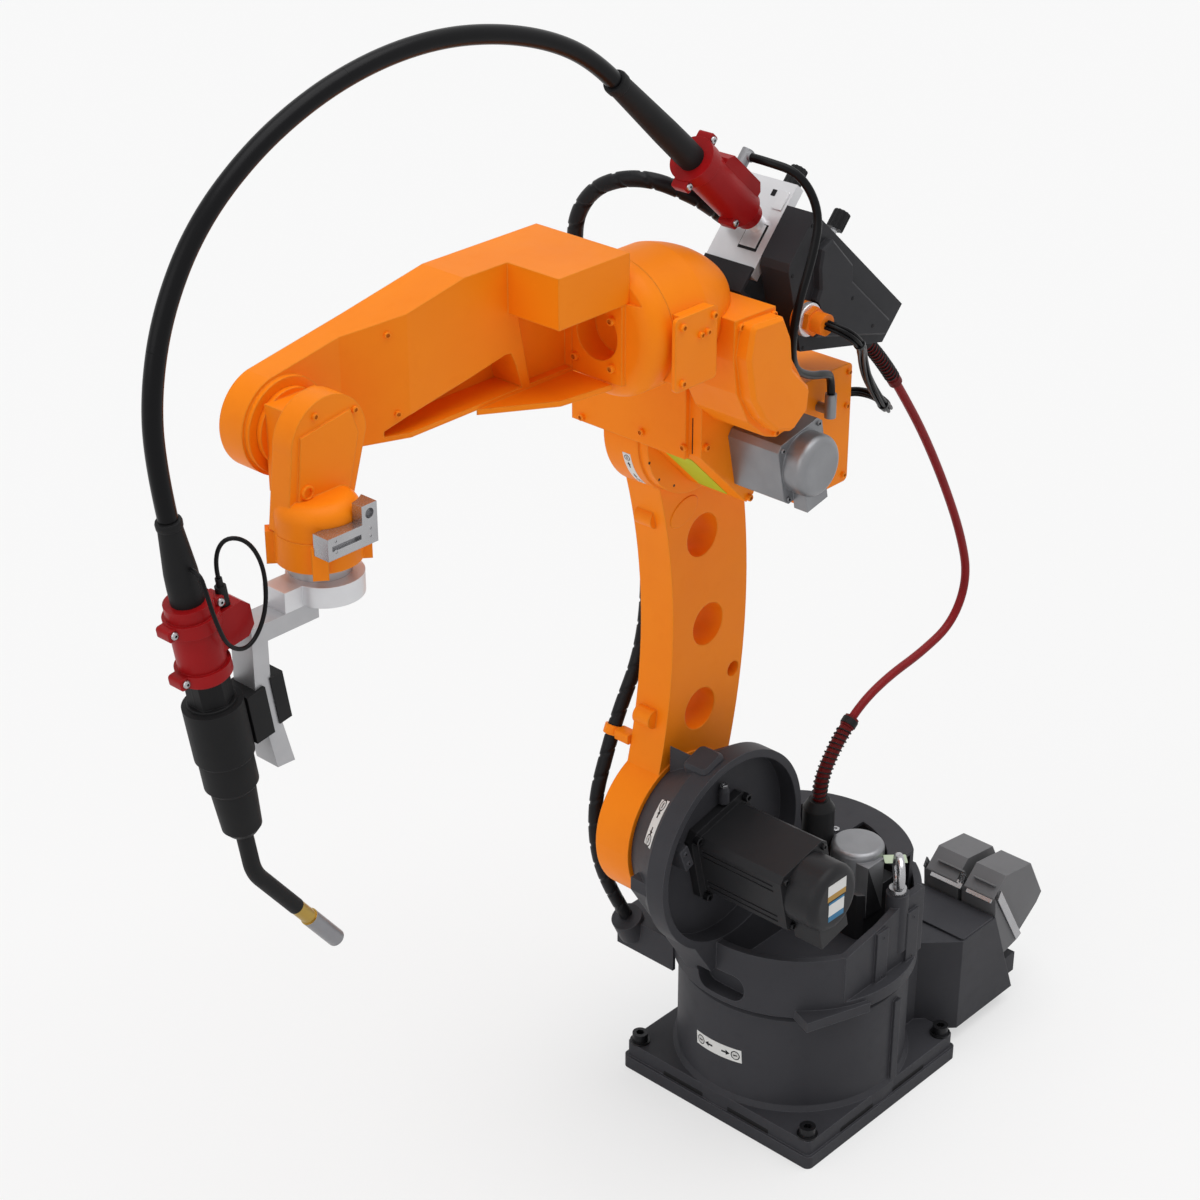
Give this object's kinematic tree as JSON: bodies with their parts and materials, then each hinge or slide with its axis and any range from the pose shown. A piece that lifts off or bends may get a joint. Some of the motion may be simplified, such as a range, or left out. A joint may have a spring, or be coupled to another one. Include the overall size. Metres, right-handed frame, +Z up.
{
  "type": "industrial welding robot arm",
  "caption": "Jointed arc-welding robot arm on a cast foot, with a turning waist, shoulder, elbow, rolling forearm and wrist, a wire feeder on the elbow and a swan-neck torch.",
  "frame": {"origin": "centre of the foot plate's underside, where the waist axis meets the floor", "axes": "+Z up the waist axis, +X forward along the forearm as stored, +Y to the shoulder motor's side"},
  "size_m": [1.541, 0.407, 1.7456],
  "materials": {
    "grey_paint": "satin cast texture",
    "orange_paint": "satin",
    "black_bolt": "satin",
    "hood_grey": "satin",
    "bail_steel": "satin",
    "forged_steel": "satin",
    "motor_black": "satin",
    "motor_cap": "satin",
    "motor_silver": "matt cast",
    "black_plastic": "matt",
    "feeder_black": "matt",
    "aluminium": "brushed",
    "bracket_steel": "satin",
    "gland_orange": "gloss",
    "red_plastic": "satin",
    "boot_rubber": "matt",
    "torch_black": "matt",
    "nozzle_steel": "brushed",
    "fitting_grey": "satin",
    "cable_black": "satin",
    "hose_red": "satin",
    "sleeve_black": "ribbed",
    "sleeve_red": "ribbed"
  },
  "bodies": {
    "base": {"base_casting": "grey_paint", "base_lid": "grey_paint", "foot_bolts": "black_bolt", "plug_housings": "hood_grey", "plug_hoods": "hood_grey", "hood_levers": "bail_steel"},
    "turret": {"turret_casting": "grey_paint", "lifting_eye": "forged_steel", "shoulder_motor": "motor_black", "shoulder_motor_cap": "motor_cap", "waist_motor": "motor_silver", "rear_cover": "grey_paint", "hose_gland": "black_plastic", "red_sleeve_lower": "sleeve_red", "red_hose_lower": "hose_red", "spiral_cable_lower": "cable_black"},
    "upper_arm": {"upper_arm_casting": "orange_paint", "shoulder_cap": "grey_paint", "cable_clip": "black_plastic", "spiral_cable_arm": "cable_black"},
    "elbow": {"elbow_casing": "orange_paint", "roll_drum": "orange_paint", "belt_case": "orange_paint", "junction_box": "orange_paint", "rear_box": "orange_paint", "elbow_motor": "motor_silver", "feeder_housing": "feeder_black", "feeder_unit": "aluminium", "feeder_knobs": "black_plastic", "feeder_bracket": "bracket_steel", "cable_gland": "gland_orange", "feeder_connector": "red_plastic", "feeder_boot": "boot_rubber", "red_sleeve_upper": "sleeve_black", "air_hose": "cable_black", "hose_fittings": "fitting_grey", "cable_bundle": "cable_black", "red_hose_upper": "hose_red", "spiral_cable_upper": "cable_black", "torch_cable_rear": "cable_black"},
    "forearm": {"roll_flange": "orange_paint", "forearm_shell": "orange_paint", "torch_cable_middle": "cable_black"},
    "wrist": {"wrist_housing": "orange_paint", "wrist_skirt": "orange_paint", "stop_bracket": "bracket_steel", "torch_cable_front": "cable_black"},
    "tool": {"tool_flange": "aluminium", "mounting_block": "aluminium", "torch_bracket": "aluminium", "torch_clamp": "black_plastic", "torch_body": "torch_black", "torch_connector": "red_plastic", "torch_boot": "boot_rubber", "torch_neck": "torch_black", "gas_nozzle": "nozzle_steel", "signal_plug": "black_plastic", "signal_loop": "cable_black"}
  },
  "joints": [
    {"name": "turret_turn", "type": "hinge", "parent": "base", "child": "turret", "pos_m": [0, 0, 0.21], "axis": [0, 0, -1], "range_deg": [-170, 170]},
    {"name": "shoulder_swing", "type": "hinge", "parent": "turret", "child": "upper_arm", "pos_m": [0.151, 0, 0.46], "axis": [0, 1, 0], "range_deg": [-60, 120], "deforming": ["red_hose_lower", "spiral_cable_lower"]},
    {"name": "elbow_swing", "type": "hinge", "parent": "upper_arm", "child": "elbow", "pos_m": [0.15, 0, 1.097], "axis": [0, -1, 0], "range_deg": [-55, 105], "deforming": ["red_hose_upper", "spiral_cable_upper"]},
    {"name": "forearm_roll", "type": "hinge", "parent": "elbow", "child": "forearm", "pos_m": [0.395, 0, 1.33], "axis": [1, 0, 0], "range_deg": [-150, 150], "deforming": ["torch_cable_rear"]},
    {"name": "wrist_bend", "type": "hinge", "parent": "forearm", "child": "wrist", "pos_m": [0.865, 0, 1.331], "axis": [0, -1, 0], "range_deg": [-45, 100], "deforming": ["torch_cable_middle"]},
    {"name": "tool_turn", "type": "hinge", "parent": "wrist", "child": "tool", "pos_m": [0.886, 0, 1.2], "axis": [0, 0, -1], "range_deg": [-120, 120], "deforming": ["torch_cable_front"]}
  ]
}
